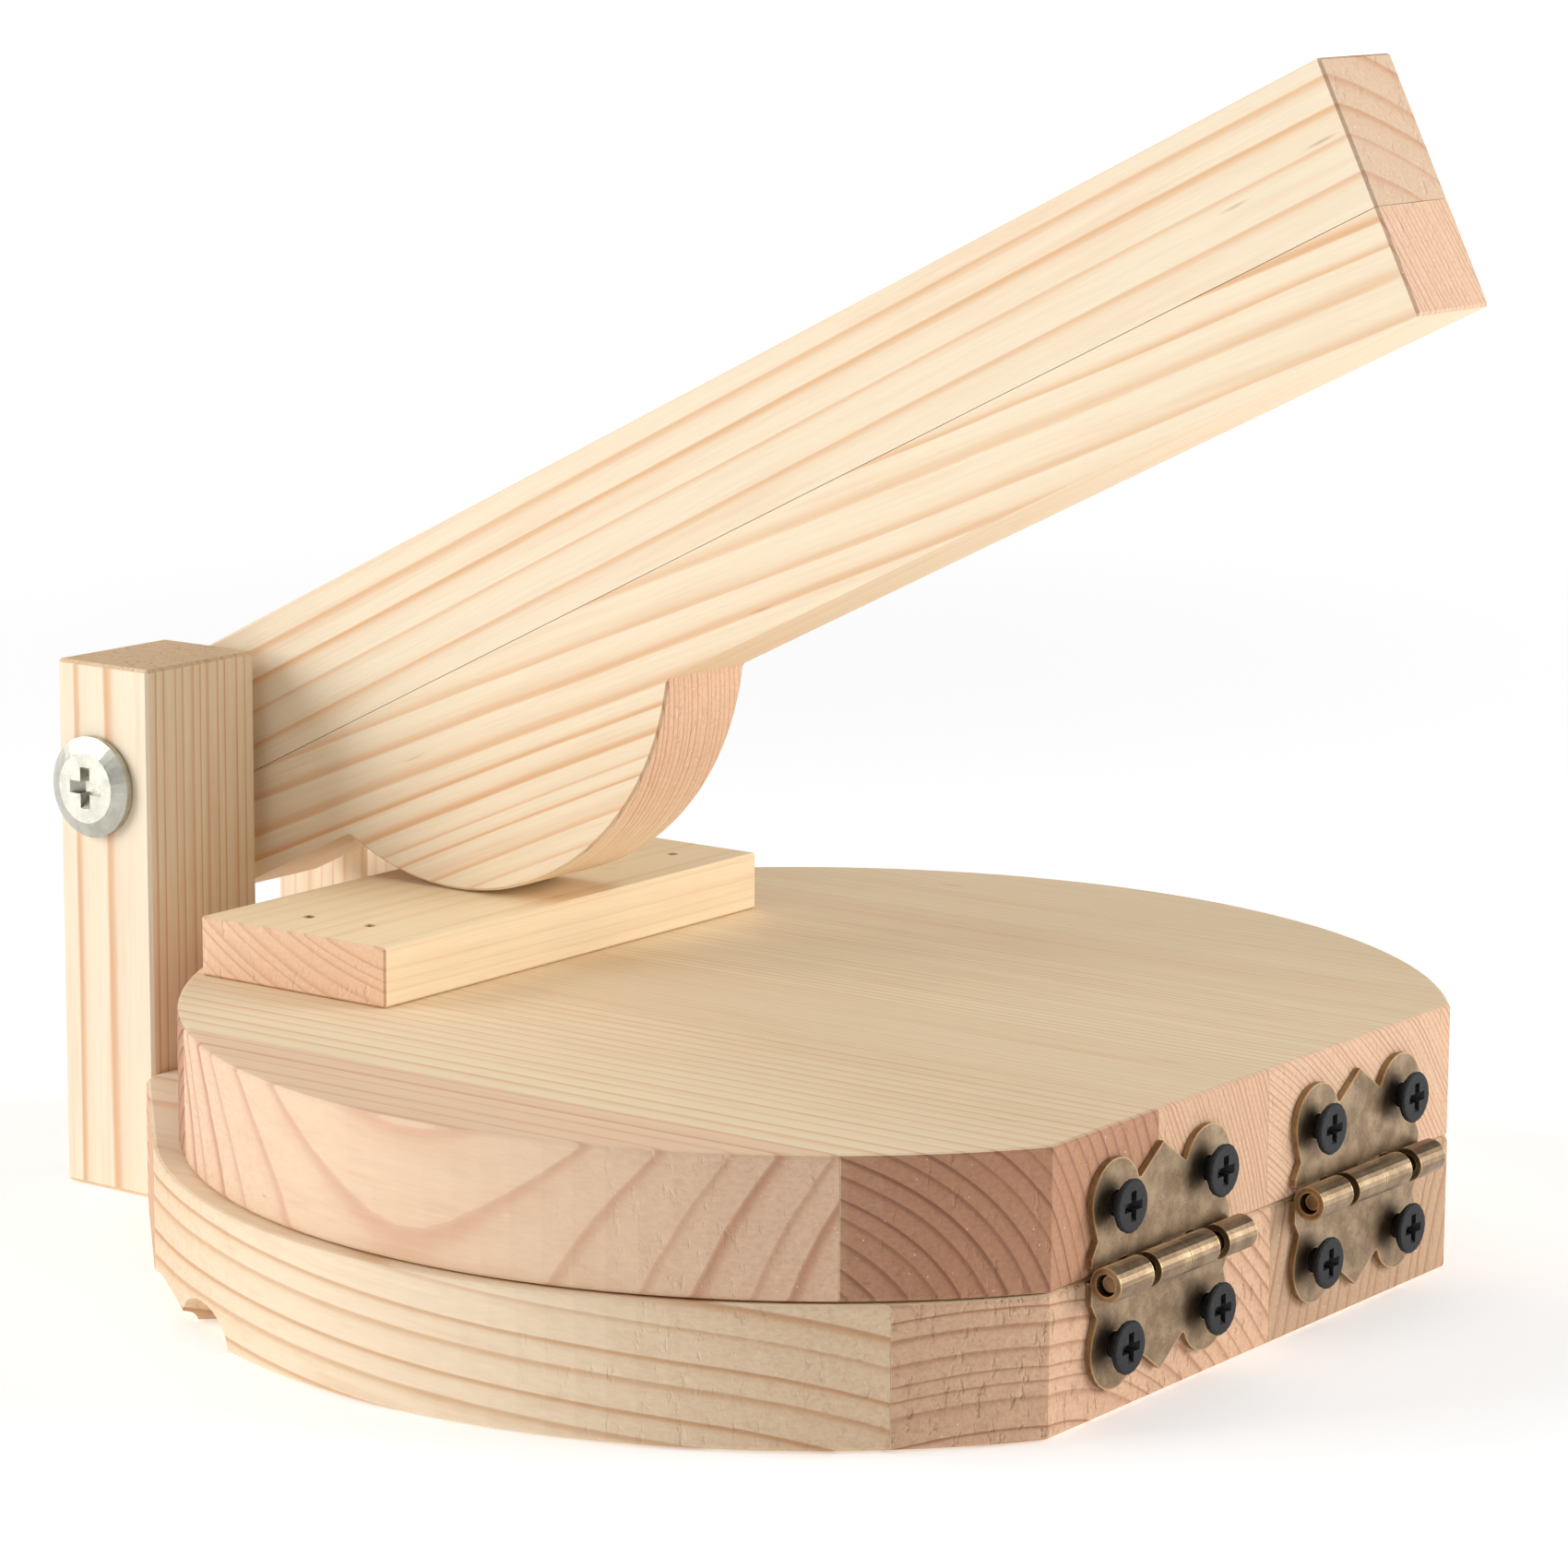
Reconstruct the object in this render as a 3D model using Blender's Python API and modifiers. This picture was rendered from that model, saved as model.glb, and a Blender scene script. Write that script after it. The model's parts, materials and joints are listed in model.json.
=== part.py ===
"""Round wooden lever press at rest: two hinged discs, a pad, two posts and a cam lever.

Metres, +Z up. The origin is on the table under the middle of the bounding box. +X runs from
the lever's pivot to the hinges, and the near side is -Y. All small gaps are running or glue gaps.
"""

import math

import bmesh
import bpy
from mathutils import Vector

MM = 0.001
QUARTER = math.pi / 2.0

# Base board
BOARD_T = 20.0 * MM
BASE_CX = 7.0 * MM
BASE_R = 95.9 * MM
HINGE_FACE_X = 87.1 * MM
BASE_END_X = -89.6 * MM
BASE_CORNER = 1.6 * MM
BASE_JOINTS_Y = (-69.3 * MM, 3.0 * MM, 64.0 * MM)
RIM_ROUND = 0.6 * MM
GLUE = 0.1 * MM
SCOOP_CENTRE = (-33.5 * MM, -86.8 * MM, 0.0)
SCOOP_RADII = (8.6 * MM, 11.0 * MM, 5.3 * MM)
SCOOP_TURN = -0.43
WANE_CENTRE = (-51.0 * MM, -76.4 * MM, -0.4 * MM)
WANE_RADII = (15.0 * MM, 5.0 * MM, 3.8 * MM)
WANE_TURN = -0.64

# Lid board
LID_CX = 9.4 * MM
LID_R = 93.8 * MM
LID_Z = BOARD_T + 0.2 * MM
LID_TOP = LID_Z + BOARD_T
LID_JOINTS_Y = (-73.4 * MM, -26.8 * MM, 1.7 * MM, 58.0 * MM)

# Pad nailed to the lid
PAD_LOW = (-69.9 * MM, -47.1 * MM, LID_TOP + 0.1 * MM)
PAD_HIGH = (-33.5 * MM, 42.8 * MM, LID_TOP + 9.1 * MM)
NAIL_R = 0.8 * MM
NAIL_LENGTH = 20.0 * MM
NAIL_TIP = 1.6 * MM
NAIL_SUNK = 0.4 * MM
NAILS_XY = ((-56.8, -37.5), (-45.6, -36.6), (-43.3, 33.6), (-54.5, 34.4))

# Posts
POST_X0 = -108.9 * MM
POST_X1 = -89.8 * MM
POST_INNER_Y = 12.9 * MM
POST_OUTER_Y = 37.1 * MM
POST_TOP = 83.2 * MM
POST_SCREWS_YZ = ((31.0, 6.5), (19.0, 13.5))
POST_SCREW_R = 1.9 * MM
POST_SCREW_HEAD_R = 3.6 * MM
POST_SCREW_LENGTH = 38.0 * MM
POST_SCREW_SUNK = 0.25 * MM

# Lever, drawn along U from the pivot with N across it
PIVOT_X = -101.0 * MM
PIVOT_Z = 64.0 * MM
LEVER_ANGLE = math.radians(26.15)
LEVER_T = 18.7 * MM
LEVER_BACK = -6.0 * MM
LEVER_END = 229.8 * MM
LEVER_UPPER = 17.3 * MM
LEVER_LOWER = -19.6 * MM
LEVER_GLUE_N = -4.0 * MM
CAM_U = 55.85 * MM
CAM_N = 3.16 * MM
CAM_R = 41.9 * MM
CAM_STEPS = 44

# Pivot bolt and its cap nut
BOLT_R = 2.8 * MM
BORE_R = 2.95 * MM
CAP_R = 7.9 * MM
CAP_TOP_R = 5.6 * MM
CAP_EDGE = 1.1 * MM
CAP_HEIGHT = 2.2 * MM
CAP_GAP = 0.2 * MM

# Butterfly hinges. Outline numbers are in millimetres from the pin's middle
HINGES_Y = {"near": -27.0 * MM, "far": 25.1 * MM}
HINGE_AXIS_X = HINGE_FACE_X + 3.2 * MM
HINGE_AXIS_Z = 19.9 * MM
LEAF_BACK = HINGE_FACE_X + 0.15 * MM
LEAF_T = 0.9 * MM
KNUCKLE_R = 2.45 * MM
PIN_R = 1.15 * MM
PIN_LOW = -16.2 * MM
PIN_ROOM = 0.4 * MM
PIN_HIGH = 16.8 * MM
LOWER_KNUCKLES = ((-17.2, -9.0), (0.45, 7.6))
UPPER_KNUCKLES = ((-7.2, 0.3), (10.1, 17.2))
KNUCKLE_CLEAR = 1.95 * MM
EAR_FOOT = ((-17.25, 0.15), (-17.25, 3.2), (-15.9, 5.4), (-16.9, 8.2))
EAR_S = 11.5
EAR_T = 10.3
EAR_R = 5.75
EAR_NOTCH = (-5.5, 12.2)
LEAF_PEAK = (0.0, 16.0)
SCREW_T = 9.8 * MM
SCREW_S = 11.6 * MM
SCREW_R = 1.55 * MM
SCREW_HEAD_R = 3.75 * MM
SCREW_HOLE_R = 1.85 * MM
SCREW_PROUD = 3.8 * MM
SCREW_DEPTH = 11.0 * MM

# Colour, roughness and metallic value of each kind of stock
TIMBER = ((0.86, 0.68, 0.46, 1.0), 0.55, 0.0)
POST_TIMBER = ((0.84, 0.66, 0.44, 1.0), 0.55, 0.0)
ANTIQUE_BRASS = ((0.42, 0.32, 0.17, 1.0), 0.4, 1.0)
BLACK_OXIDE = ((0.05, 0.05, 0.055, 1.0), 0.45, 1.0)
ZINC = ((0.75, 0.76, 0.76, 1.0), 0.25, 1.0)


# ---------------------------------------------------------------- scene, collections, materials
def clear_scene():
    for obj in list(bpy.data.objects):
        bpy.data.objects.remove(obj, do_unlink=True)


def new_collection(name, hidden=False):
    collection = bpy.data.collections.new(name)
    bpy.context.scene.collection.children.link(collection)
    collection.hide_render = hidden
    return collection


def add_finish(obj, finish):
    color, roughness, metallic = finish
    material = bpy.data.materials.new(obj.name)
    material.use_nodes = True
    shader = material.node_tree.nodes["Principled BSDF"]
    shader.inputs["Base Color"].default_value = color
    shader.inputs["Roughness"].default_value = roughness
    shader.inputs["Metallic"].default_value = metallic
    material.diffuse_color = color
    obj.data.materials.append(material)


def add_object(name, mesh, finish):
    """A kept part with its own material, or a cutter where finish is None."""
    obj = bpy.data.objects.new(name, mesh)
    if finish is None:
        CUTTERS.objects.link(obj)
        obj.display_type = "WIRE"
        obj.hide_render = True
    else:
        PARTS.objects.link(obj)
        add_finish(obj, finish)
    return obj


def add_axis(name, location, turn=0.0):
    """An empty on a joint's axis. turn is its rotation about Y."""
    empty = bpy.data.objects.new(name, None)
    empty.empty_display_size = 0.02
    empty.location = location
    empty.rotation_euler = (0.0, turn, 0.0)
    PARTS.objects.link(empty)
    return empty


def hang(obj, axis):
    """Parents obj to an axis empty and leaves it where it is."""
    bpy.context.view_layer.update()
    obj.parent = axis
    obj.matrix_parent_inverse = axis.matrix_world.inverted()
    return obj


# ---------------------------------------------------------------- shapes
def mesh_from(name, bm):
    mesh = bpy.data.meshes.new(name)
    bm.to_mesh(mesh)
    bm.free()
    return mesh


def block(name, low, high, finish=None):
    """A rectangular block between two corners."""
    size = Vector(high) - Vector(low)
    bm = bmesh.new()
    bmesh.ops.create_cube(bm, size=1.0)
    bmesh.ops.scale(bm, vec=size, verts=bm.verts)
    obj = add_object(name, mesh_from(name, bm), finish)
    obj.location = (Vector(low) + Vector(high)) / 2.0
    return obj


def rod(name, foot, axis, length, radius, segments, finish=None):
    """A cylinder that starts at foot and runs along axis."""
    direction = Vector(axis)
    bm = bmesh.new()
    bmesh.ops.create_cone(
        bm, cap_ends=True, segments=segments, radius1=radius, radius2=radius, depth=length
    )
    mesh = mesh_from(name, bm)
    mesh.shade_smooth()
    mesh.set_sharp_from_angle(angle=math.radians(40.0))
    obj = add_object(name, mesh, finish)
    obj.location = Vector(foot) + direction * (length / 2.0)
    obj.rotation_euler = direction.to_track_quat("Z", "Y").to_euler()
    return obj


def turned(name, foot, axis, profile, segments, finish=None):
    """A profile of (height along axis, radius), from its top down, turned round the axis."""
    bm = bmesh.new()
    points = [bm.verts.new((radius, 0.0, height)) for height, radius in profile]
    for upper, lower in zip(points, points[1:]):
        bm.edges.new((upper, lower))
    obj = add_object(name, mesh_from(name, bm), finish)
    obj.location = foot
    obj.rotation_euler = Vector(axis).to_track_quat("Z", "Y").to_euler()
    screw = obj.modifiers.new("turned", "SCREW")
    screw.axis = "Z"
    screw.angle = 2.0 * math.pi
    screw.steps = segments
    screw.render_steps = segments
    screw.use_merge_vertices = True
    screw.merge_threshold = 0.00001
    screw.use_smooth_shade = True
    return obj


def slab(name, outline, thickness, location, rotation, finish=None):
    """A flat outline cut from sheet, centred on its own plane."""
    curve = bpy.data.curves.new(name, "CURVE")
    curve.dimensions = "2D"
    curve.fill_mode = "BOTH"
    curve.extrude = thickness / 2.0
    spline = curve.splines.new("POLY")
    spline.points.add(len(outline) - 1)
    for point, (x, y) in zip(spline.points, outline):
        point.co = (x, y, 0.0, 1.0)
    spline.use_cyclic_u = True
    drawing = bpy.data.objects.new(name + "_outline", curve)
    drawing.location = location
    drawing.rotation_euler = rotation
    bpy.context.scene.collection.objects.link(drawing)
    bpy.context.view_layer.update()
    depsgraph = bpy.context.evaluated_depsgraph_get()
    mesh = bpy.data.meshes.new_from_object(drawing.evaluated_get(depsgraph))
    mesh.name = name
    weld_caps(mesh)
    obj = add_object(name, mesh, finish)
    obj.matrix_world = drawing.matrix_world.copy()
    bpy.data.objects.remove(drawing, do_unlink=True)
    bpy.data.curves.remove(curve)
    return obj


def weld_caps(mesh):
    """Joins a filled curve's caps to its sides and merges each cap into one flat face."""
    bm = bmesh.new()
    bm.from_mesh(mesh)
    bmesh.ops.remove_doubles(bm, verts=bm.verts, dist=0.000001)
    bmesh.ops.dissolve_limit(bm, angle_limit=0.001, verts=bm.verts, edges=bm.edges)
    bmesh.ops.recalc_face_normals(bm, faces=bm.faces)
    bm.to_mesh(mesh)
    bm.free()


def cross_recess(name, centre, out, surface, depth, reach, half_width):
    """A cutter for a cross recess, lofted from a wide cross to a stubbier one below it."""
    bm = bmesh.new()
    mouth = cross_ring(bm, surface + depth, reach * 1.5, half_width * 1.3)
    floor = cross_ring(bm, surface - depth, reach * 0.45, half_width)
    bm.faces.new(mouth)
    bm.faces.new(floor[::-1])
    count = len(mouth)
    for i in range(count):
        j = (i + 1) % count
        bm.faces.new((floor[i], floor[j], mouth[j], mouth[i]))
    bmesh.ops.recalc_face_normals(bm, faces=bm.faces)
    obj = add_object(name, mesh_from(name, bm), None)
    obj.location = centre
    obj.rotation_euler = Vector(out).to_track_quat("Z", "Y").to_euler()
    return obj


def cross_ring(bm, height, reach, half_width):
    w = half_width
    r = reach
    outline = ((w, w), (w, r), (-w, r), (-w, w), (-r, w), (-r, -w))
    outline += ((-w, -w), (-w, -r), (w, -r), (w, -w), (r, -w), (r, w))
    return [bm.verts.new((x, y, height)) for x, y in outline]


# ---------------------------------------------------------------- modifiers
def boolean(obj, operation, other, name):
    modifier = obj.modifiers.new(name, "BOOLEAN")
    modifier.operation = operation
    modifier.solver = "EXACT"
    modifier.operand_type = "OBJECT"
    modifier.object = other
    return modifier


def bevel(obj, width, segments=1, angle=50.0):
    modifier = obj.modifiers.new("softened_edges", "BEVEL")
    modifier.width = width
    modifier.segments = segments
    modifier.limit_method = "ANGLE"
    modifier.angle_limit = math.radians(angle)
    return modifier


# ---------------------------------------------------------------- boards
def arc(cx, radius, start, end, steps):
    points = []
    for i in range(steps + 1):
        angle = start + (end - start) * i / steps
        points.append((cx + radius * math.cos(angle), radius * math.sin(angle)))
    return points


def base_outline():
    """A disc with a flat for the hinges, and 45 degree shoulders to the posts' end face."""
    flat = math.acos((HINGE_FACE_X - BASE_CX) / BASE_R)
    shoulder = math.radians(135.0)
    reach = BASE_R / math.sqrt(2.0)
    half = reach - (BASE_CX - reach - BASE_END_X)
    far = arc(BASE_CX, BASE_R, flat, shoulder, 40)
    near = arc(BASE_CX, BASE_R, -shoulder, -flat, 40)
    inner = BASE_END_X + BASE_CORNER
    end = [(inner, half + BASE_CORNER), (BASE_END_X, half - BASE_CORNER)]
    end += [(BASE_END_X, BASE_CORNER - half), (inner, -half - BASE_CORNER)]
    return far + end + near


def lid_outline():
    flat = math.acos((HINGE_FACE_X - LID_CX) / LID_R)
    return arc(LID_CX, LID_R, flat, 2.0 * math.pi - flat, 104)


def add_stave(name, outline, bottom, low_y, high_y):
    """The strip of a board between two glue lines, with softened rims on its outside only."""
    middle = (0.0, 0.0, bottom + BOARD_T / 2.0)
    stave = slab(name, outline, BOARD_T, middle, (0.0, 0.0, 0.0), TIMBER)
    bevel(stave, RIM_ROUND, 2)
    reach = 0.2
    low = (-reach, low_y, bottom - reach)
    high = (reach, high_y, bottom + reach)
    boolean(stave, "INTERSECT", block(name + "_strip", low, high), "strip")
    return stave


def add_board(prefix, outline, bottom, joints, axis):
    edges = (-0.2,) + tuple(joints) + (0.2,)
    staves = []
    for index, (low, high) in enumerate(zip(edges, edges[1:])):
        name = prefix + "_stave_" + str(index + 1)
        stave = add_stave(name, outline, bottom, low + GLUE / 2.0, high - GLUE / 2.0)
        staves.append((hang(stave, axis), low, high))
    return staves


def stave_at(staves, y):
    for stave, low, high in staves:
        if low < y < high:
            return stave
    raise ValueError("no stave there")


def bite_base(name, staves, centre, radii, turn):
    """A rounded bite out of the bottom edge on the near side, across the first two staves."""
    bm = bmesh.new()
    bmesh.ops.create_uvsphere(bm, u_segments=24, v_segments=14, radius=1.0)
    bmesh.ops.scale(bm, vec=radii, verts=bm.verts)
    bite = add_object(name, mesh_from(name, bm), None)
    bite.location = centre
    bite.rotation_euler = (0.0, 0.0, turn)
    for stave, _low, _high in staves[:2]:
        boolean(stave, "DIFFERENCE", bite, name)


# ---------------------------------------------------------------- pad
def add_pad(lid_staves, axis):
    pad = hang(block("pad", PAD_LOW, PAD_HIGH, TIMBER), axis)
    bevel(pad, 0.3 * MM)
    profile = ((NAIL_LENGTH, 0.0), (NAIL_LENGTH, NAIL_R), (NAIL_TIP, NAIL_R), (0.0, 0.0))
    foot_z = PAD_HIGH[2] - NAIL_SUNK - NAIL_LENGTH
    for index, (x, y) in enumerate(NAILS_XY):
        name = "pad_nail_" + str(index + 1)
        foot = Vector((x * MM, y * MM, foot_z))
        hang(turned(name, foot, (0, 0, 1), profile, 12, BLACK_OXIDE), axis)
        below = foot - Vector((0.0, 0.0, 0.4 * MM))
        hole = rod(name + "_hole", below, (0, 0, 1), NAIL_LENGTH + 5.4 * MM, NAIL_R + 0.2 * MM, 12)
        boolean(pad, "DIFFERENCE", hole, name)
        boolean(stave_at(lid_staves, y * MM), "DIFFERENCE", hole, name)


# ---------------------------------------------------------------- posts and their screws
def add_post(name, side, axis):
    low_y, high_y = sorted((side * POST_INNER_Y, side * POST_OUTER_Y))
    post = block(name, (POST_X0, low_y, 0.0), (POST_X1, high_y, POST_TOP), POST_TIMBER)
    bevel(post, 0.5 * MM)
    foot = (PIVOT_X, low_y - 10.0 * MM, PIVOT_Z)
    length = high_y - low_y + 20.0 * MM
    bore = rod(name + "_bore", foot, (0, 1, 0), length, BORE_R, 32)
    boolean(post, "DIFFERENCE", bore, "pivot_bore")
    return hang(post, axis)


def post_screw_profile(extra):
    """Flat-headed screw from its head down to its tip, extra larger all round."""
    head = POST_SCREW_HEAD_R + extra
    shank = POST_SCREW_R + extra
    length = POST_SCREW_LENGTH + extra
    return (
        (-POST_SCREW_SUNK, head),
        (-POST_SCREW_SUNK - 0.4 * MM, head),
        (-POST_SCREW_SUNK - 1.95 * MM - extra, shank),
        (4.0 * MM - length, shank),
        (-length, 0.0),
    )


def add_post_screws(post, side, base_staves, axis):
    body = post_screw_profile(0.0)
    body = ((body[0][0], 0.0),) + body
    room = post_screw_profile(0.25 * MM)
    room = ((2.0 * MM, 0.0), (2.0 * MM, room[0][1])) + room[1:]
    for index, (y, z) in enumerate(POST_SCREWS_YZ):
        name = post.name + "_screw_" + str(index + 1)
        start = (POST_X0, side * y * MM, z * MM)
        screw = hang(turned(name, start, (-1, 0, 0), body, 16, ZINC), axis)
        recess = cross_recess(
            name + "_recess", start, (-1, 0, 0), -POST_SCREW_SUNK, 1.7 * MM, 2.3 * MM, 0.6 * MM
        )
        boolean(screw, "DIFFERENCE", recess, "recess")
        hole = turned(name + "_hole", start, (-1, 0, 0), room, 16)
        boolean(post, "DIFFERENCE", hole, name)
        boolean(stave_at(base_staves, start[1]), "DIFFERENCE", hole, name)


# ---------------------------------------------------------------- lever
def cam_outline():
    """The lower lamination: a straight bar with the round cam bulging below it."""
    edge = LEVER_GLUE_N - GLUE
    half_angle = math.acos((CAM_N - LEVER_LOWER) / CAM_R)
    start = -QUARTER - half_angle
    outline = [(LEVER_BACK, edge), (LEVER_BACK, LEVER_LOWER)]
    for i in range(CAM_STEPS + 1):
        angle = start + 2.0 * half_angle * i / CAM_STEPS
        outline.append((CAM_U + CAM_R * math.cos(angle), CAM_N + CAM_R * math.sin(angle)))
    outline += [(LEVER_END, LEVER_LOWER), (LEVER_END, edge)]
    return outline


def add_lamination(name, outline, glued):
    """A lever lamination with softened edges, apart from the two on its glue line."""
    stand = (QUARTER, -LEVER_ANGLE, 0.0)
    bar = slab(name, outline, LEVER_T, (PIVOT_X, 0.0, PIVOT_Z), stand, TIMBER)
    mesh = bar.data
    weights = mesh.attributes.new("bevel_weight_edge", "FLOAT", "EDGE")
    for edge in mesh.edges:
        start, stop = (mesh.vertices[i].co for i in edge.vertices)
        on_glue = max(abs(start.y - glued), abs(stop.y - glued)) < 0.01 * MM
        crossing = abs(start.z - stop.z) > LEVER_T / 2.0
        on_end = start.x < LEVER_BACK + MM or start.x > LEVER_END - MM
        soft = not on_glue and (on_end or not crossing)
        weights.data[edge.index].value = 1.0 if soft else 0.0
    bevel(bar, 0.4 * MM).limit_method = "WEIGHT"
    return bar


def add_lever(axis):
    """Two laminations drawn in the lever's own plane and laid on its pivot."""
    bar = ((LEVER_BACK, LEVER_GLUE_N), (LEVER_END, LEVER_GLUE_N))
    bar += ((LEVER_END, LEVER_UPPER), (LEVER_BACK, LEVER_UPPER))
    upper = add_lamination("lever_upper", bar, LEVER_GLUE_N)
    foot = (PIVOT_X, -LEVER_T, PIVOT_Z)
    bore = rod("lever_bore", foot, (0, 1, 0), 2.0 * LEVER_T, BORE_R, 32)
    boolean(upper, "DIFFERENCE", bore, "pivot_bore")
    cam = add_lamination("lever_cam", cam_outline(), LEVER_GLUE_N - GLUE)
    hang(upper, axis)
    hang(cam, axis)


# ---------------------------------------------------------------- pivot bolt
def cap_profile(face):
    """Flange with a conical rim, from its top down to the post's face."""
    return (
        (face + CAP_HEIGHT, 0.0),
        (face + CAP_HEIGHT, CAP_TOP_R - 0.1 * MM),
        (face + CAP_HEIGHT - 0.15 * MM, CAP_TOP_R + 0.2 * MM),
        (face + CAP_EDGE, CAP_R),
        (face, CAP_R),
    )


def add_pivot(axis):
    """The binding bolt through both posts, and the cap that closes its far end."""
    face = POST_OUTER_Y + CAP_GAP
    centre = (PIVOT_X, 0.0, PIVOT_Z)
    tip = -face - 0.6 * MM
    shank = ((face, BOLT_R), (tip, BOLT_R), (tip, 0.0))
    bolt = turned("pivot_bolt", centre, (0, -1, 0), cap_profile(face) + shank, 32, ZINC)
    recess = cross_recess(
        "pivot_recess", centre, (0, -1, 0), face + CAP_HEIGHT, 1.7 * MM, 3.3 * MM, 0.85 * MM
    )
    boolean(bolt, "DIFFERENCE", recess, "recess")
    cap = cap_profile(face) + ((face, 0.0),)
    nut = turned("pivot_nut", centre, (0, 1, 0), cap, 32, ZINC)
    foot = (PIVOT_X, face - 2.0 * MM, PIVOT_Z)
    socket = rod("pivot_nut_socket", foot, (0, 1, 0), 3.0 * MM, BORE_R, 32)
    boolean(nut, "DIFFERENCE", socket, "socket")
    hang(bolt, axis)
    hang(nut, axis)


# ---------------------------------------------------------------- hinges
def leaf_outline(up):
    """Two rounded ears with a peak between them. up is 1 for the leaf above the barrel."""
    ear = list(EAR_FOOT)
    for i in range(13):
        angle = math.radians(182.0 - i * 13.5)
        ear.append((-EAR_S + EAR_R * math.cos(angle), EAR_T + EAR_R * math.sin(angle)))
    ear.append(EAR_NOTCH)
    whole = ear + [LEAF_PEAK] + [(-s, t) for s, t in reversed(ear)]
    return [(s * MM, up * t * MM) for s, t in whole]


def add_leaf(name, y, up, own, other):
    place = (LEAF_BACK + LEAF_T / 2.0, y, HINGE_AXIS_Z)
    leaf = slab(name, leaf_outline(up), LEAF_T, place, (QUARTER, 0.0, QUARTER), ANTIQUE_BRASS)
    for index, (low, high) in enumerate(other):
        corner = (HINGE_FACE_X - 5 * MM, y + (low - 0.5) * MM, HINGE_AXIS_Z - KNUCKLE_CLEAR)
        far = (HINGE_AXIS_X + 5 * MM, y + (high + 0.5) * MM, HINGE_AXIS_Z + KNUCKLE_CLEAR)
        slot = block(name + "_slot_" + str(index), corner, far)
        boolean(leaf, "DIFFERENCE", slot, "slot")
    for index, (low, high) in enumerate(own):
        foot = (HINGE_AXIS_X, y + low * MM, HINGE_AXIS_Z)
        label = name + "_knuckle_" + str(index)
        knuckle = rod(label, foot, (0, 1, 0), (high - low) * MM, KNUCKLE_R, 24)
        boolean(leaf, "UNION", knuckle, "knuckle")
    foot = (HINGE_AXIS_X, y - 30.0 * MM, HINGE_AXIS_Z)
    bore = rod(name + "_bore", foot, (0, 1, 0), 60.0 * MM, PIN_R + PIN_ROOM, 20)
    boolean(leaf, "DIFFERENCE", bore, "bore")
    return leaf


def hinge_screw_profile():
    """Thick-headed screw with a cone under its head, from its top down to its tip."""
    top = SCREW_PROUD
    return (
        (top, 0.0),
        (top, SCREW_HEAD_R - 0.7 * MM),
        (top - 0.05 * MM, SCREW_HEAD_R - 0.25 * MM),
        (top - 0.3 * MM, SCREW_HEAD_R),
        (top - 0.75 * MM, SCREW_HEAD_R - 0.1 * MM),
        (1.3 * MM, SCREW_R),
        (1.0 * MM, SCREW_R),
        (3.0 * MM - SCREW_DEPTH, SCREW_R * 0.8),
        (-SCREW_DEPTH, 0.0),
    )


def add_hinge_screw(name, leaf, wood, y, z, axis):
    start = (HINGE_FACE_X, y, z)
    screw = turned(name, start, (1, 0, 0), hinge_screw_profile(), 20, BLACK_OXIDE)
    recess = cross_recess(
        name + "_recess", start, (1, 0, 0), SCREW_PROUD, 1.5 * MM, 2.2 * MM, 0.55 * MM
    )
    boolean(screw, "DIFFERENCE", recess, "recess")
    foot = (HINGE_FACE_X - SCREW_DEPTH - 0.4 * MM, y, z)
    length = SCREW_DEPTH + 5.4 * MM
    hole = rod(name + "_hole", foot, (1, 0, 0), length, SCREW_HOLE_R, 16)
    boolean(leaf, "DIFFERENCE", hole, name)
    boolean(wood, "DIFFERENCE", hole, name)
    hang(screw, axis)


def add_leaf_screws(leaf, y, up, staves, axis):
    for index, side in enumerate((-1, 1)):
        name = leaf.name + "_screw_" + str(index + 1)
        screw_y = y + side * SCREW_S
        wood = stave_at(staves, screw_y)
        add_hinge_screw(name, leaf, wood, screw_y, HINGE_AXIS_Z + up * SCREW_T, axis)


def add_hinge(place, y, base_staves, lid_staves, base_axis, lid_axis):
    prefix = "hinge_" + place
    upper = add_leaf(prefix + "_upper", y, 1, UPPER_KNUCKLES, LOWER_KNUCKLES)
    lower = add_leaf(prefix + "_lower", y, -1, LOWER_KNUCKLES, UPPER_KNUCKLES)
    add_leaf_screws(upper, y, 1, lid_staves, lid_axis)
    add_leaf_screws(lower, y, -1, base_staves, base_axis)
    foot = (HINGE_AXIS_X, y + PIN_LOW, HINGE_AXIS_Z)
    pin = rod(prefix + "_pin", foot, (0, 1, 0), PIN_HIGH - PIN_LOW, PIN_R, 16, ANTIQUE_BRASS)
    hang(pin, base_axis)
    hang(lower, base_axis)
    hang(upper, lid_axis)


# ---------------------------------------------------------------- assembly
def main():
    base_axis = add_axis("press_foot", (0.0, 0.0, 0.0))
    lid_axis = add_axis("lid_axis", (HINGE_AXIS_X, 0.0, HINGE_AXIS_Z))
    lever_axis = add_axis("lever_axis", (PIVOT_X, 0.0, PIVOT_Z), -LEVER_ANGLE)
    base_staves = add_board("base", base_outline(), 0.0, BASE_JOINTS_Y, base_axis)
    bite_base("edge_scoop", base_staves, SCOOP_CENTRE, SCOOP_RADII, SCOOP_TURN)
    bite_base("edge_wane", base_staves, WANE_CENTRE, WANE_RADII, WANE_TURN)
    lid_staves = add_board("lid", lid_outline(), LID_Z, LID_JOINTS_Y, lid_axis)
    add_pad(lid_staves, lid_axis)
    for name, side in (("post_near", -1), ("post_far", 1)):
        post = add_post(name, side, base_axis)
        add_post_screws(post, side, base_staves, base_axis)
    add_lever(lever_axis)
    add_pivot(base_axis)
    for place, y in HINGES_Y.items():
        add_hinge(place, y, base_staves, lid_staves, base_axis, lid_axis)


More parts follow.
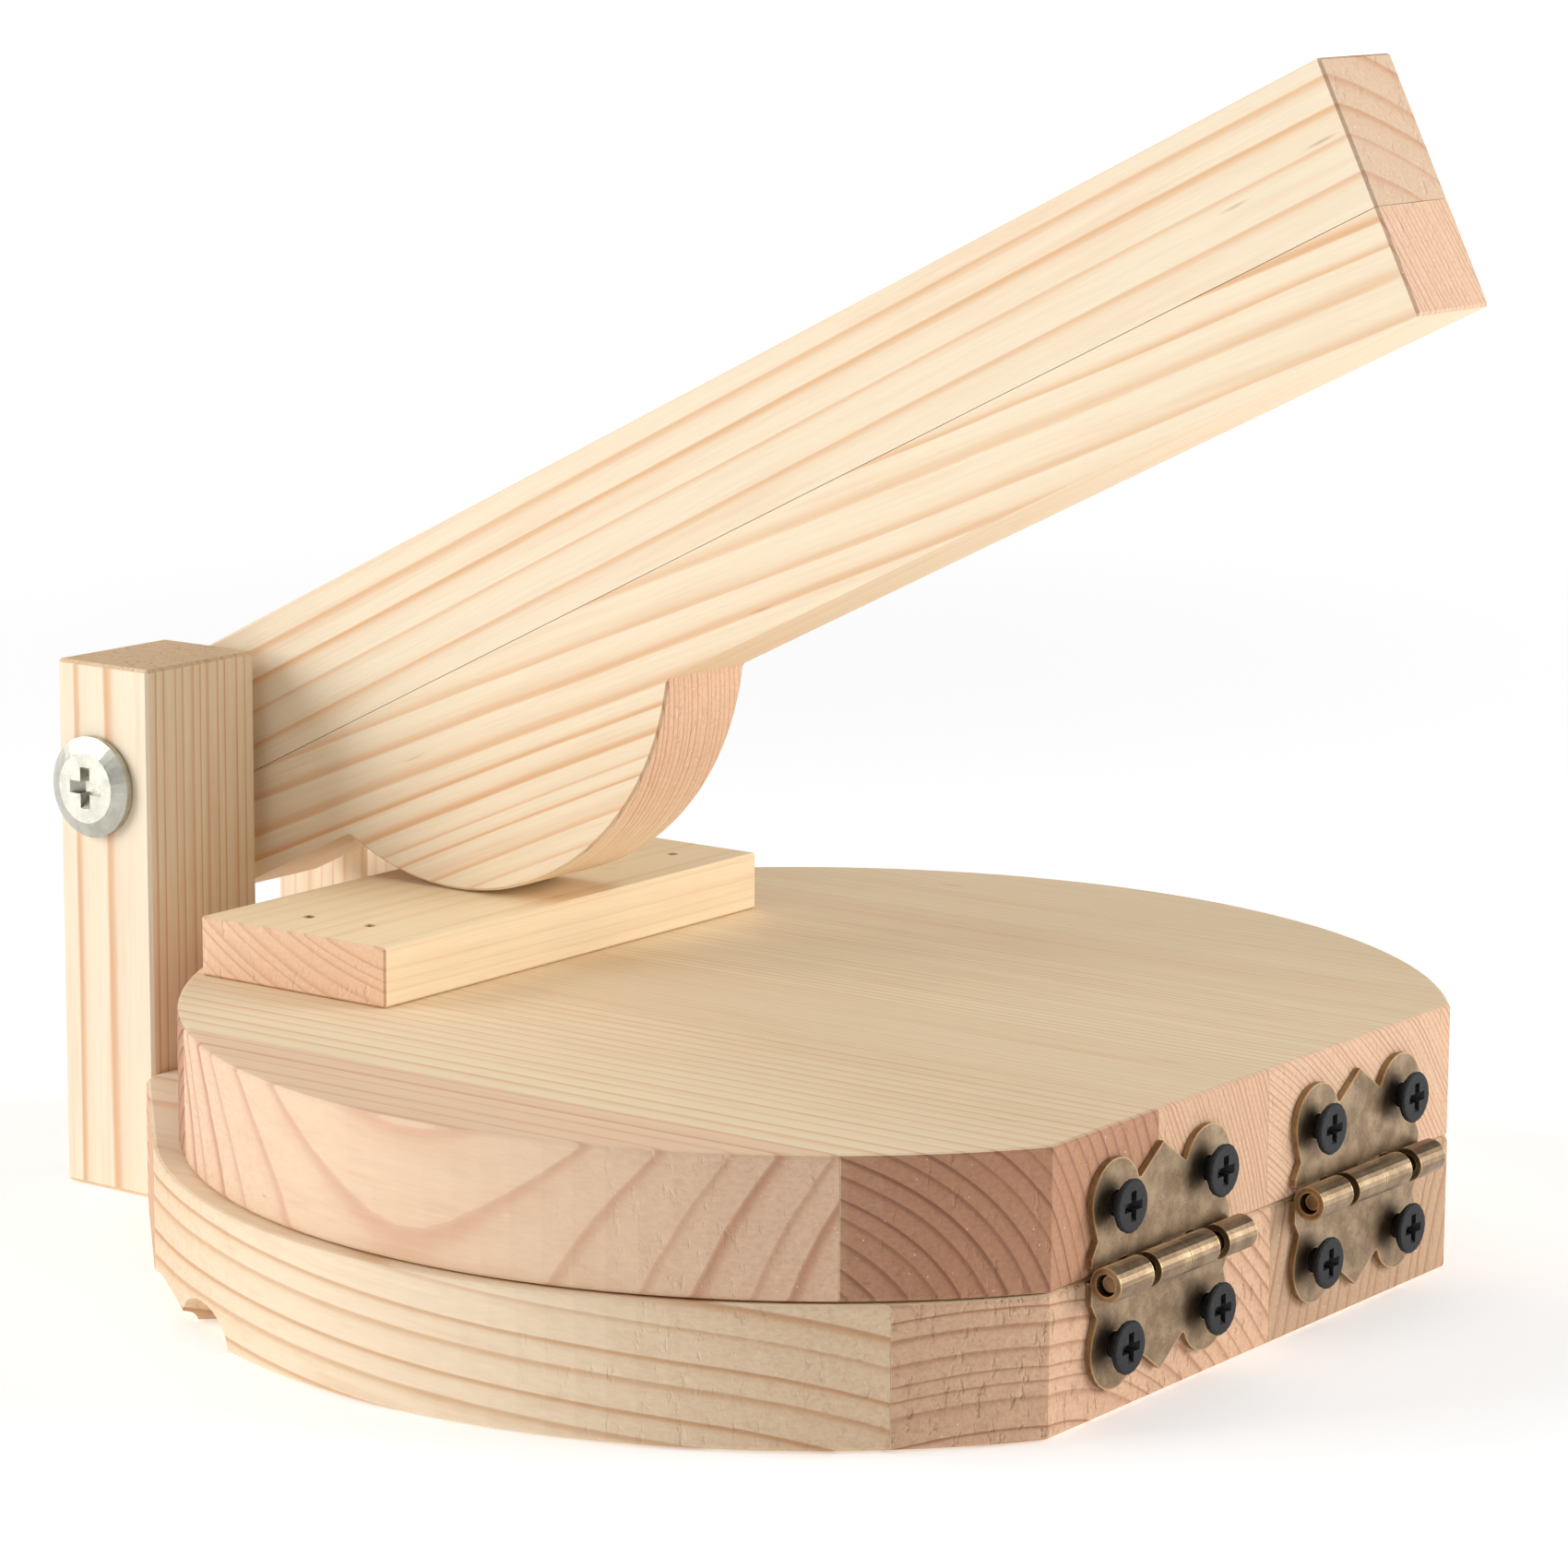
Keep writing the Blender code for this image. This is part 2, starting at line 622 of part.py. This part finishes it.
clear_scene()
PARTS = new_collection("round_lever_press")
CUTTERS = new_collection("cutters", hidden=True)
main()
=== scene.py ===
"""Round wooden lever press: materials, floor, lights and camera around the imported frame."""
import json
import math

import bpy
from mathutils import Matrix, Vector

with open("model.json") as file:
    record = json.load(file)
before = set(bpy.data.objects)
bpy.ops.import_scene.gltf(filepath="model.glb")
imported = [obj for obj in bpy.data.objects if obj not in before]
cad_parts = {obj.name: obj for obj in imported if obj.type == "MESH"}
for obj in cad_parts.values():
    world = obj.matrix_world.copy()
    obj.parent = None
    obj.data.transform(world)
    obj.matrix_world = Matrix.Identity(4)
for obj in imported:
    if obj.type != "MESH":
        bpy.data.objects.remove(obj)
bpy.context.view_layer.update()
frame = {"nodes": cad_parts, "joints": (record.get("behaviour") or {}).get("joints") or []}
NODES = frame["nodes"]
MM = 0.001


# ---------------------------------------------------------------- node helpers
class Tree:
    """A small writer for shader nodes."""

    def __init__(self, name):
        self.mat = bpy.data.materials.new(name)
        self.mat.use_nodes = True
        self.nt = self.mat.node_tree
        self.nt.nodes.clear()
        self.out = self.add("ShaderNodeOutputMaterial")
        self.bsdf = self.add("ShaderNodeBsdfPrincipled")
        self.nt.links.new(self.bsdf.outputs[0], self.out.inputs["Surface"])
        coord = self.add("ShaderNodeTexCoord")
        self.spot = coord.outputs["Object"]
        self.normal = coord.outputs["Normal"]

    def add(self, kind, **props):
        node = self.nt.nodes.new(kind)
        for key, value in props.items():
            setattr(node, key, value)
        return node

    def put(self, socket, value):
        if isinstance(value, bpy.types.NodeSocket):
            self.nt.links.new(value, socket)
        else:
            socket.default_value = value

    def set(self, name, value):
        """Sets or links one of the shader's own inputs."""
        self.put(self.bsdf.inputs[name], value)

    def math(self, op, a, b=0.0, c=0.0):
        node = self.add("ShaderNodeMath", operation=op)
        for socket, value in zip(node.inputs, (a, b, c)):
            self.put(socket, value)
        return node.outputs[0]

    def times(self, a, b):
        return self.math("MULTIPLY", a, b)

    def times_add(self, a, b, c):
        return self.math("MULTIPLY_ADD", a, b, c)

    def vec(self, op, a, b=(0, 0, 0), scale=None):
        node = self.add("ShaderNodeVectorMath", operation=op)
        self.put(node.inputs[0], a)
        self.put(node.inputs[1], b)
        if scale is not None:
            self.put(node.inputs["Scale"], scale)
        return node.outputs["Value" if op in ("DOT_PRODUCT", "LENGTH") else "Vector"]

    def noise(self, vector, scale, detail, rough=0.5, dims="3D"):
        node = self.add("ShaderNodeTexNoise", noise_dimensions=dims)
        self.put(node.inputs["W" if dims == "1D" else "Vector"], vector)
        for key, value in (("Scale", scale), ("Detail", detail), ("Roughness", rough)):
            self.put(node.inputs[key], value)
        return node.outputs[0]

    def dots(self, vector, scale, radius):
        """Scattered round dots: 1 in the middle of each, and 0 from its radius out."""
        node = self.add("ShaderNodeTexVoronoi")
        self.put(node.inputs["Vector"], vector)
        self.put(node.inputs["Scale"], scale)
        return self.between(node.outputs["Distance"], 0.0, radius, 1.0, 0.0)

    def level(self, value, stops):
        """A grey ramp through (position, level) stops."""
        node = self.add("ShaderNodeValToRGB")
        items = node.color_ramp.elements
        while len(items) < len(stops):
            items.new(0.5)
        for item, (place, v) in zip(items, stops):
            item.position = place
            item.color = (v, v, v, 1.0)
        self.put(node.inputs[0], value)
        return node.outputs[0]

    def between(self, value, low, high, a=0.0, b=1.0):
        node = self.add("ShaderNodeMapRange", interpolation_type="SMOOTHSTEP")
        for socket, item in zip(node.inputs, (value, low, high, a, b)):
            self.put(socket, item)
        return node.outputs[0]

    def mix(self, factor, a, b, blend="MIX"):
        node = self.add("ShaderNodeMix", data_type="RGBA", blend_type=blend)
        self.put(node.inputs[0], factor)
        self.put(node.inputs[6], a)
        self.put(node.inputs[7], b)
        return node.outputs[2]

    def grey(self, value):
        node = self.add("ShaderNodeCombineColor")
        for socket in node.inputs[:3]:
            self.put(socket, value)
        return node.outputs[0]

    def bump(self, height, distance, strength):
        node = self.add("ShaderNodeBump")
        self.put(node.inputs["Height"], height)
        self.put(node.inputs["Distance"], distance)
        self.put(node.inputs["Strength"], strength)
        self.set("Normal", node.outputs[0])


def srgb(r, g, b):
    """An 8-bit display colour as linear light."""
    parts = []
    for v in (r, g, b):
        v /= 255
        parts.append(v / 12.92 if v < 0.04045 else ((v + 0.055) / 1.055) ** 2.4)
    return (*parts, 1.0)


def finish_node(name, material):
    mesh = NODES[name].data
    mesh.materials.clear()
    mesh.materials.append(material)


# ---------------------------------------------------------------- wood
PALE = srgb(246, 231, 205)
LATE = srgb(218, 160, 106)
END_PALE = srgb(230, 198, 166)
END_LATE = srgb(176, 124, 94)
PORE = srgb(176, 122, 78)
BLUSH = srgb(240, 200, 170)
# Near-white of the painted glints on the wood
GLINT_WHITE = srgb(255, 246, 228)

# How dark the wood is across one ring, from its pale early wood to its late wood
RING_PROFILE = [(0.0, 0.15), (0.04, 0.0), (0.50, 0.03), (0.74, 0.22), (0.87, 0.82),
                (0.94, 1.0), (1.0, 0.55)]
WOOD_RELIEF = 0.16 * MM
METAL_RELIEF = 0.05 * MM
SCREW_RELIEF = 0.09 * MM
WORN_EDGE = 0.45 * MM


def ring_bands(t, drift, across, ring, wave, warp, shift):
    """Late wood by distance from the pith. wave bends the rings, and warp varies their widths."""
    seed = t.vec("ADD", drift, (shift, shift * 0.37, -shift * 0.71))
    slow = t.noise(seed, 24.0, 1.0)
    mid = t.noise(seed, 110.0, 2.0)
    radius = t.vec("LENGTH", across)
    radius = t.times_add(t.math("SUBTRACT", slow, 0.5), wave * 4 * MM, radius)
    radius = t.times_add(t.math("SUBTRACT", mid, 0.5), wave * 0.35 * MM, radius)
    turns = t.math("DIVIDE", radius, ring)
    uneven = t.noise(t.math("ADD", turns, shift * 10), 0.55, 1.0, dims="1D")
    turns = t.times_add(t.math("SUBTRACT", uneven, 0.5), warp * 2, turns)
    band = t.level(t.math("FRACT", turns), RING_PROFILE)
    which = t.add("ShaderNodeTexWhiteNoise", noise_dimensions="1D")
    t.put(which.inputs["W"], t.math("FLOOR", turns))
    return t.times(band, t.times_add(which.outputs[0], 0.45, 0.6))


def wood(name, pith, grain, ring, pale=PALE, late=LATE, end_pale=END_PALE, end_late=END_LATE,
         strength=0.75, end_strength=0.9, wave=1.6, tear=0.6, shift=0.0, warp=0.5):
    """Sawn pine: rings round a pith line, fibres along the grain, torn end grain with painted
    shade in its hollows, and painted glints.

    pith is a point on the pith line, grain its direction, and ring the ring spacing, in metres.
    """
    t = Tree(name)
    direction = tuple(Vector(grain).normalized())
    place = t.vec("SUBTRACT", t.spot, pith)
    along = t.vec("DOT_PRODUCT", place, direction)
    axis_part = t.vec("SCALE", direction, scale=along)
    across = t.vec("SUBTRACT", place, axis_part)

    def stretched(share):
        """The position with its part along the grain shortened, so that noise runs long there."""
        return t.vec("ADD", t.vec("SCALE", axis_part, scale=share), across)

    drift = stretched(0.16)
    band = ring_bands(t, drift, across, ring, wave, warp, shift)
    fibre = t.noise(stretched(0.035), 1900.0, 3.0, 0.65)
    streak = t.noise(stretched(0.05), 420.0, 2.0, 0.6)
    pore = t.dots(stretched(0.09), 330.0, 0.11)
    pore = t.times(pore, t.between(t.noise(drift, 90.0, 1.0), 0.56, 0.66))
    facing = t.math("ABSOLUTE", t.vec("DOT_PRODUCT", t.normal, direction))
    end = t.between(facing, 0.12, 0.72)
    grit = t.noise(across, 1500.0, 3.0, 0.7)
    # Near-white dots, mostly on end grain: painted glints, which are also made a little smoother
    painted_glint = t.times(t.dots(t.spot, 520.0, 0.09), t.times_add(end, 0.75, 0.12))

    side = t.mix(t.times(band, strength), pale, late)
    side = t.mix(t.between(streak, 0.45, 0.78, 0.0, 0.2), side, late)
    side = t.mix(t.times(pore, 0.55), side, PORE)
    cut = t.mix(t.times(band, end_strength), end_pale, end_late)
    cut = t.mix(t.between(grit, 0.35, 0.75, 0.0, 0.35), cut, end_late)
    colour = t.mix(end, side, cut)
    # Dark dots on end grain: painted shade in torn hollows, which the bump does not dent
    hollow_shade = t.times(t.dots(t.spot, 640.0, 0.2), end)
    colour = t.mix(t.times(hollow_shade, 0.28 * tear), colour, end_late)
    tone = t.between(t.noise(drift, 14.0, 1.0), 0.3, 0.7, 0.0, 0.15)
    colour = t.mix(tone, colour, t.mix(0.5, late, BLUSH))
    colour = t.mix(1.0, colour, t.grey(t.times_add(fibre, 0.16, 0.935)), "MULTIPLY")
    t.set("Base Color", t.mix(painted_glint, colour, GLINT_WHITE))

    rough = t.times_add(fibre, 0.18, 0.5)
    rough = t.times_add(end, 0.14, rough)
    t.set("Roughness", t.times_add(painted_glint, -0.25, rough))
    t.set("Specular IOR Level", 0.32)

    side_height = t.times_add(fibre, 0.5, t.times(streak, 0.35))
    side_height = t.times_add(pore, -0.8, side_height)
    clump = t.noise(t.spot, 420.0, 3.0, 0.6)
    torn = t.noise(t.vec("MULTIPLY", t.spot, (1.0, 1.0, 0.45)), 620.0, 3.0, 0.62)
    end_height = t.times_add(clump, 1.2 * tear, t.times(grit, 0.6))
    end_height = t.times_add(t.between(torn, 0.56, 0.74), -1.6 * tear, end_height)
    end_height = t.times_add(band, 0.5, end_height)
    flat_part = t.times(side_height, t.math("SUBTRACT", 1.0, end))
    height = t.math("ADD", flat_part, t.times(end_height, end))
    t.bump(height, WOOD_RELIEF, 0.85)
    return t.mat


# ---------------------------------------------------------------- the boards' own wood
LEVER_TILT = math.radians(26.15)
PIVOT = next(j["pos_m"] for j in frame["joints"] if j["name"] == "lever_pivot")
ALONG_X = (1.0, 0.0, 0.0)
LID_TOP = srgb(245, 227, 193)
POST_END = dict(end_pale=srgb(240, 208, 168), end_late=srgb(206, 158, 116))


def lever_point(u, y, n):
    """A point in millimetres from the lever's own place: u along it and n across it."""
    cos, sin = math.cos(LEVER_TILT), math.sin(LEVER_TILT)
    return (PIVOT[0] / MM + u * cos - n * sin, y, PIVOT[2] / MM + u * sin + n * cos)


def lever_grain(slope):
    angle = LEVER_TILT + slope
    return (math.cos(angle), 0.0, math.sin(angle))


# Pith points and ring spacings are in millimetres
BOARDS = {
    "base_stave_1": dict(pith=(0, -93.7, -55.6), grain=(1, 0, -0.07), ring=4.0, wave=1.1,
                         pale=srgb(246, 226, 196), late=srgb(206, 154, 104),
                         end_pale=srgb(235, 210, 178), end_late=srgb(196, 144, 100), tear=1.0),
    "base_stave_2": dict(pith=(0, -57.7, -50.8), grain=(1, 0, 0.02), ring=2.6, wave=0.9,
                         end_pale=srgb(224, 186, 154), end_late=srgb(164, 108, 78), tear=1.6),
    "base_stave_3": dict(pith=(0, 140.0, -30.0), grain=ALONG_X, ring=2.8, wave=1.2,
                         end_pale=srgb(192, 162, 132), end_late=srgb(154, 106, 78)),
    "base_stave_4": dict(pith=(0, -20.0, 60.0), grain=ALONG_X, ring=2.2, wave=1.2,
                         end_pale=srgb(200, 170, 140), end_late=srgb(160, 112, 84)),
    "lid_stave_1": dict(pith=(0, -16.4, 11.8), grain=(1, 0, -0.03), ring=3.45, wave=0.9,
                        pale=srgb(240, 210, 178), late=srgb(214, 158, 124),
                        end_pale=srgb(233, 199, 170), end_late=srgb(180, 122, 90), tear=0.9),
    "lid_stave_2": dict(pith=(0, -91.7, 8.3), grain=ALONG_X, ring=2.3, wave=0.5, warp=0.2,
                        pale=LID_TOP, strength=0.6,
                        end_pale=srgb(186, 136, 106), end_late=srgb(120, 72, 50), tear=0.8),
    "lid_stave_3": dict(pith=(0, -150.0, -30.0), grain=ALONG_X, ring=0.95, wave=1.0,
                        pale=LID_TOP, strength=0.6,
                        end_pale=srgb(222, 184, 152), end_late=srgb(184, 132, 104)),
    "lid_stave_4": dict(pith=(0, -60.0, -60.0), grain=ALONG_X, ring=0.9, wave=1.0,
                        pale=LID_TOP, strength=0.6,
                        end_pale=srgb(228, 192, 160), end_late=srgb(190, 138, 110)),
    "lid_stave_5": dict(pith=(0, -30.0, -80.0), grain=ALONG_X, ring=0.9, wave=1.0,
                        pale=LID_TOP, strength=0.5),
    "pad": dict(pith=(-20.0, 0, 110.0), grain=(0, 1, 0), ring=2.1, wave=0.8, strength=0.35,
                pale=srgb(249, 229, 192), late=srgb(228, 186, 134),
                end_pale=srgb(248, 210, 178), end_late=srgb(222, 172, 138), tear=0.5),
    "post_near": dict(pith=(-60.0, -200.0, 0), grain=(0.01, 0, 1), ring=1.95, wave=0.8,
                      strength=0.8, end_strength=0.25, tear=1.2, **POST_END),
    "post_far": dict(pith=(-20.0, 70.0, 0), grain=(0, 0.01, 1), ring=2.2, wave=0.9,
                     strength=0.5, end_strength=0.4, **POST_END),
    "lever_upper": dict(pith=lever_point(110, -22.0, -52.0), grain=lever_grain(0.005),
                        ring=4.5, wave=1.0, strength=0.85,
                        pale=srgb(246, 231, 204), late=srgb(226, 172, 116),
                        end_pale=srgb(214, 188, 161), end_late=srgb(196, 146, 112)),
    "lever_cam": dict(pith=lever_point(60, 300.0, 75.0), grain=lever_grain(-0.07),
                      ring=1.1, wave=0.75, strength=0.78,
                      pale=srgb(248, 231, 202), late=srgb(226, 168, 112),
                      end_pale=srgb(230, 194, 164), end_late=srgb(200, 148, 118)),
}


def finish_boards():
    """Each board has its own wood. shift keeps any two from showing the same rings."""
    for count, (name, look) in enumerate(BOARDS.items()):
        look = dict(look)
        look["pith"] = tuple(v * MM for v in look["pith"])
        look["ring"] *= MM
        finish_node(name, wood("wood_" + name, shift=0.31 * count + 0.17, **look))


# ---------------------------------------------------------------- metals
def brass():
    """Antique brass: cloudy brown patina with fine speckle, worn paler along its edges."""
    t = Tree("antique_brass")
    cloud = t.noise(t.spot, 260.0, 3.0, 0.6)
    speck = t.noise(t.spot, 2600.0, 2.0, 0.7)
    rub = t.noise(t.spot, 620.0, 3.0, 0.6)
    edge = t.add("ShaderNodeBevel", samples=6)
    t.put(edge.inputs["Radius"], WORN_EDGE)
    face = t.add("ShaderNodeNewGeometry")
    bend = t.vec("DOT_PRODUCT", edge.outputs[0], face.outputs["Normal"])
    worn = t.between(bend, 0.90, 0.995, 1.0, 0.0)
    colour = t.mix(t.between(cloud, 0.35, 0.7), srgb(132, 110, 86), srgb(166, 144, 116))
    colour = t.mix(t.between(speck, 0.55, 0.75, 0.0, 0.55), colour, srgb(82, 60, 42))
    colour = t.mix(t.between(rub, 0.52, 0.75, 0.0, 0.4), colour, srgb(176, 152, 112))
    t.set("Base Color", t.mix(t.times(worn, 0.85), colour, srgb(214, 186, 132)))
    t.set("Metallic", 0.9)
    t.set("Roughness", t.times_add(speck, 0.25, 0.27))
    t.bump(t.times_add(cloud, 0.6, t.times(speck, 0.4)), METAL_RELIEF, 0.6)
    return t.mat


def black_oxide():
    """Matte black screws with a grainy skin and darker patches."""
    t = Tree("black_screw")
    grain = t.noise(t.spot, 3200.0, 3.0, 0.7)
    cloud = t.noise(t.spot, 500.0, 2.0, 0.6)
    colour = t.mix(t.between(grain, 0.4, 0.75), srgb(24, 25, 27), srgb(54, 55, 58))
    colour = t.mix(t.between(cloud, 0.5, 0.8, 0.0, 0.4), colour, srgb(20, 20, 22))
    t.set("Base Color", colour)
    t.set("Metallic", 0.35)
    t.set("Roughness", t.times_add(grain, 0.3, 0.5))
    t.bump(grain, SCREW_RELIEF, 0.9)
    return t.mat


def zinc(name, tint, rough):
    """Zinc plate or steel with faint turning marks and small dents."""
    t = Tree(name)
    cloud = t.noise(t.spot, 400.0, 3.0, 0.6)
    mark = t.noise(t.vec("MULTIPLY", t.spot, (1.0, 1.0, 6.0)), 1800.0, 2.0, 0.6)
    t.set("Base Color", t.mix(t.between(cloud, 0.35, 0.7), tint, srgb(184, 182, 170)))
    t.set("Metallic", 1.0)
    t.set("Roughness", t.times_add(mark, 0.22, rough))
    t.bump(t.times_add(cloud, 1.8, mark), METAL_RELIEF, 0.6)
    return t.mat


def finish_metal():
    """Brass hinges, black hinge screws, a bright bolt and nut, dull nails and post screws."""
    plate = brass()
    black = black_oxide()
    bright = zinc("bolt_zinc", srgb(204, 202, 190), 0.28)
    dull = zinc("nail_steel", srgb(150, 146, 140), 0.4)
    for name in NODES:
        if name in BOARDS:
            continue
        if name.startswith("hinge_"):
            finish_node(name, black if "screw" in name else plate)
        else:
            finish_node(name, bright if name.startswith("pivot_") else dull)


# ---------------------------------------------------------------- floor, lights, camera
FLOOR = 12.0
FLOOR_Z = -0.2 * MM
GLOW_NEAR, GLOW_FAR = 0.3, 0.95
GLOW_FROM, GLOW_TO = 0.35, 1.6
WORLD_LIGHT = 0.15
WORLD_SEEN = 1.0

LIGHTS_AIM = (0.0, 0.0, 0.07)
LIGHTS = {
    "soft_left": ((-0.95, -0.85, 0.5), 0.9, 13.5),
    "soft_right": ((0.95, 0.68, 0.38), 0.7, 11.0),
    "soft_top": ((0.0, 0.1, 1.3), 1.2, 5.0),
}

CAMERA_AT = (0.45036, -0.60133, 0.21201)
CAMERA_AZIMUTH = math.radians(37.34)
CAMERA_ELEVATION = math.radians(10.41)
CAMERA_ROLL = math.radians(0.19)
CAMERA_LENS = 118.47
CAMERA_SENSOR = 36.0
CAMERA_SHIFT = (0.0418, -0.0143)
CAMERA_CLIP = 0.01


def stage_floor():
    """One flat sheet of pale paper, which glows more away from the press and so stays white."""
    t = Tree("floor_paper")
    t.set("Base Color", srgb(250, 250, 250))
    t.set("Roughness", 0.9)
    t.set("Emission Color", (1, 1, 1, 1))
    away = t.vec("LENGTH", t.spot)
    t.set("Emission Strength", t.between(away, GLOW_FROM, GLOW_TO, GLOW_NEAR, GLOW_FAR))
    mesh = bpy.data.meshes.new("floor")
    corners = ((-FLOOR, -FLOOR), (FLOOR, -FLOOR), (FLOOR, FLOOR), (-FLOOR, FLOOR))
    mesh.from_pydata([(x, y, FLOOR_Z) for x, y in corners], [], [(0, 1, 2, 3)])
    mesh.materials.append(t.mat)
    floor = bpy.data.objects.new("floor", mesh)
    bpy.context.scene.collection.objects.link(floor)


def area_light(name, place, size, power):
    data = bpy.data.lights.new(name, "AREA")
    data.shape = "RECTANGLE"
    data.size = data.size_y = size
    data.energy = power
    lamp = bpy.data.objects.new(name, data)
    lamp.location = place
    aim = Vector(LIGHTS_AIM) - Vector(place)
    lamp.rotation_euler = aim.to_track_quat("-Z", "Y").to_euler()
    bpy.context.scene.collection.objects.link(lamp)


def studio():
    """Soft lights, and a world that looks white but lights the press only faintly."""
    for name, (place, size, power) in LIGHTS.items():
        area_light(name, place, size, power)
    world = bpy.data.worlds.new("studio")
    world.use_nodes = True
    tree = world.node_tree
    back = tree.nodes["Background"]
    back.inputs["Color"].default_value = (1, 1, 1, 1)
    path = tree.nodes.new("ShaderNodeLightPath")
    strength = tree.nodes.new("ShaderNodeMath")
    strength.operation = "MULTIPLY_ADD"
    strength.inputs[1].default_value = WORLD_SEEN - WORLD_LIGHT
    strength.inputs[2].default_value = WORLD_LIGHT
    tree.links.new(path.outputs["Is Camera Ray"], strength.inputs[0])
    tree.links.new(strength.outputs[0], back.inputs["Strength"])
    bpy.context.scene.world = world


def camera():
    """A long lens from the hinge side, a little above the lid and rolled very slightly."""
    data = bpy.data.cameras.new("camera")
    data.sensor_width = CAMERA_SENSOR
    data.lens = CAMERA_LENS
    data.shift_x, data.shift_y = CAMERA_SHIFT
    data.clip_start = CAMERA_CLIP
    level = math.cos(CAMERA_ELEVATION)
    forward = Vector((-math.sin(CAMERA_AZIMUTH) * level, math.cos(CAMERA_AZIMUTH) * level,
                      -math.sin(CAMERA_ELEVATION)))
    right = Vector((math.cos(CAMERA_AZIMUTH), math.sin(CAMERA_AZIMUTH), 0.0))
    up = right.cross(forward)
    cos, sin = math.cos(CAMERA_ROLL), math.sin(CAMERA_ROLL)
    axes = Matrix((cos * right + sin * up, cos * up - sin * right, -forward))
    cam = bpy.data.objects.new("camera", data)
    cam.matrix_world = Matrix.Translation(CAMERA_AT) @ axes.transposed().to_4x4()
    bpy.context.scene.collection.objects.link(cam)
    bpy.context.scene.camera = cam


finish_boards()
finish_metal()
stage_floor()
studio()
camera()
bpy.context.scene.view_settings.view_transform = "Standard"
